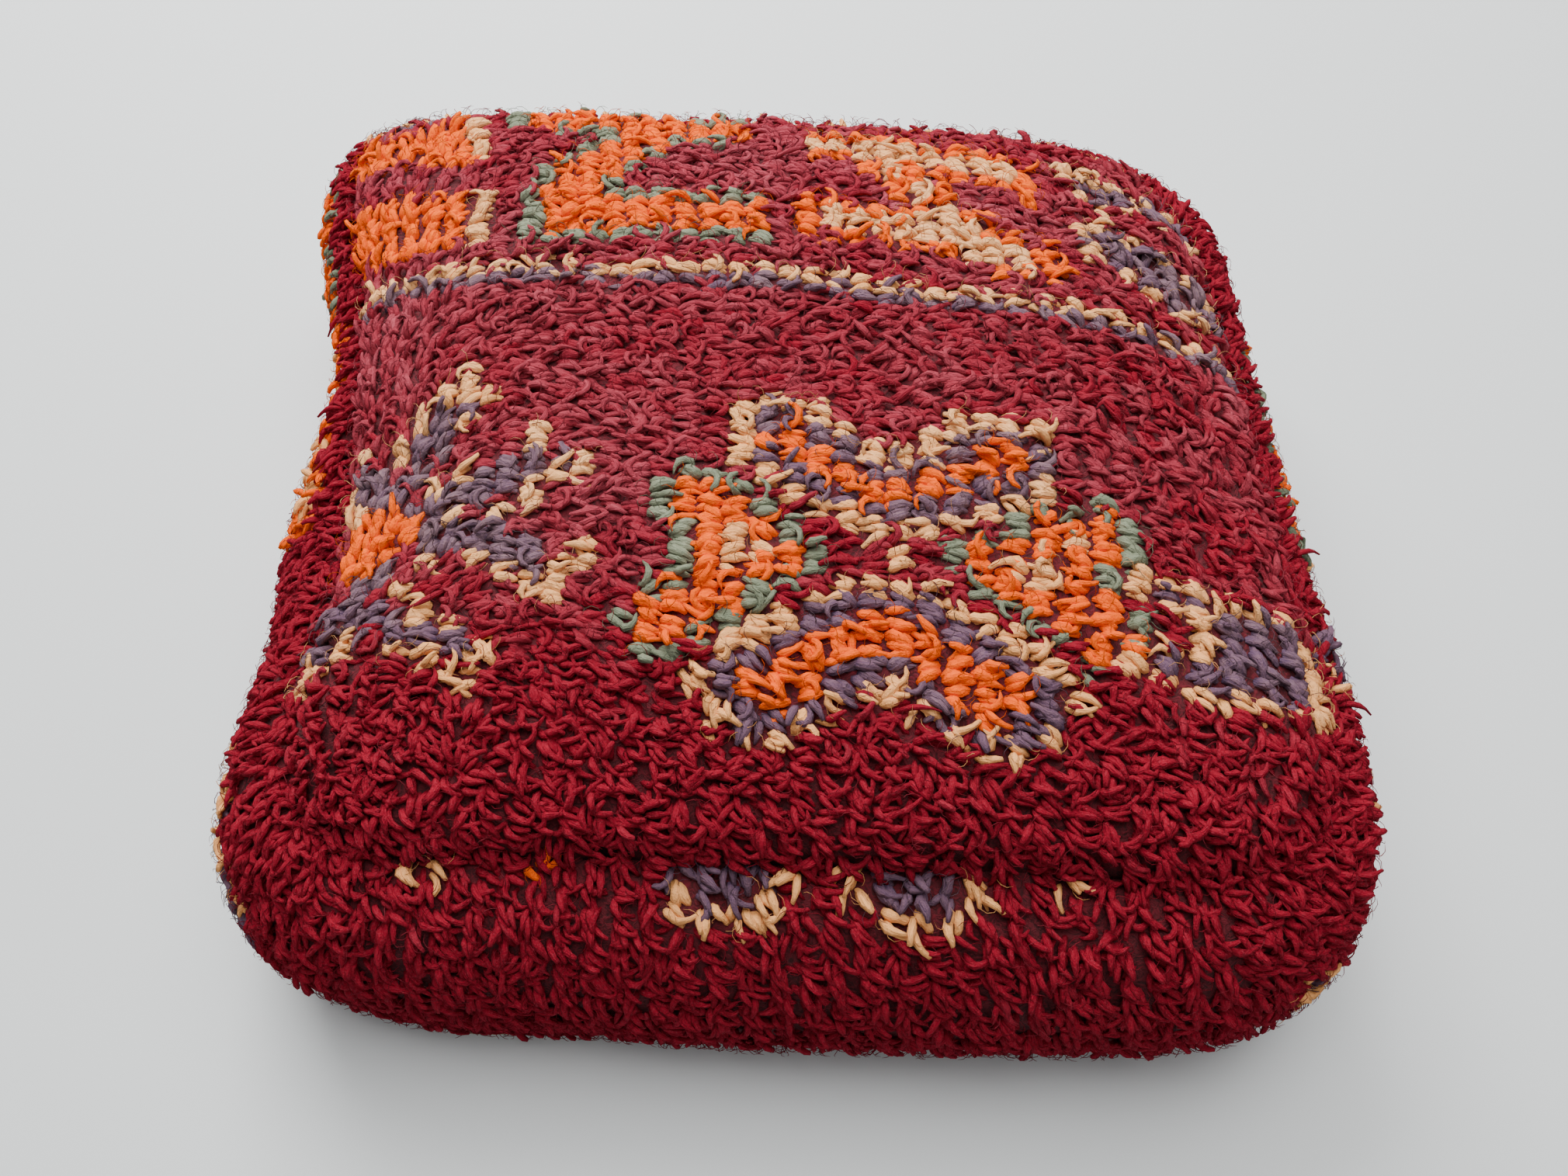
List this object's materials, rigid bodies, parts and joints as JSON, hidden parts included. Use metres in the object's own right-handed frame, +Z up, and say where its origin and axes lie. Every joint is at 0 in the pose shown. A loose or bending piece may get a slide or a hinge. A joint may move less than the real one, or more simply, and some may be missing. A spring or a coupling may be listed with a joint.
{
  "type": "floor cushion",
  "caption": "Square box floor pouf sewn from knotted-pile wool rug with geometric motifs, zipped canvas base and a stuffed inner bag.",
  "frame": {"origin": "middle of the base, on the floor, under the middle of the bounding box", "axes": "+Z up; +X along the width and the zip, to the right as seen from the front; -Y is the front"},
  "size_m": [0.64, 0.63, 0.212],
  "materials": {
    "rug_pile": "matte",
    "base_canvas": "matte",
    "zip_tape": "matte",
    "zip_teeth": "satin",
    "zip_metal": "satin",
    "sewing_thread": "matte",
    "bag_calico": "matte",
    "fibre_filling": "matte"
  },
  "bodies": {
    "cover": {"top_panel": "rug_pile", "front_panel": "rug_pile", "back_panel": "rug_pile", "left_panel": "rug_pile", "right_panel": "rug_pile", "base_panel_front": "base_canvas", "base_panel_back": "base_canvas", "zip_tape_front": "zip_tape", "zip_tape_back": "zip_tape", "zip_teeth_front": "zip_teeth", "zip_teeth_back": "zip_teeth", "zip_top_stops": "zip_metal", "zip_bottom_stop": "zip_metal", "zip_stitching": "sewing_thread", "top_seam_thread": "sewing_thread", "base_seam_thread": "sewing_thread", "corner_seam_threads": "sewing_thread", "inner_bag": "bag_calico", "filling": "fibre_filling"},
    "slider": {"zip_slider": "zip_metal"},
    "pull": {"zip_pull": "zip_metal"}
  },
  "joints": [
    {"name": "zip_slide", "type": "slide", "parent": "cover", "child": "slider", "axis": [-1, 0, 0], "range_m": [0, 0.396], "deforming": ["zip_teeth_front", "zip_teeth_back"]},
    {"name": "pull_hinge", "type": "hinge", "parent": "slider", "child": "pull", "pos_m": [0.2024, 0, 0.0018], "axis": [0, -1, 0], "range_deg": [0, 180]}
  ]
}
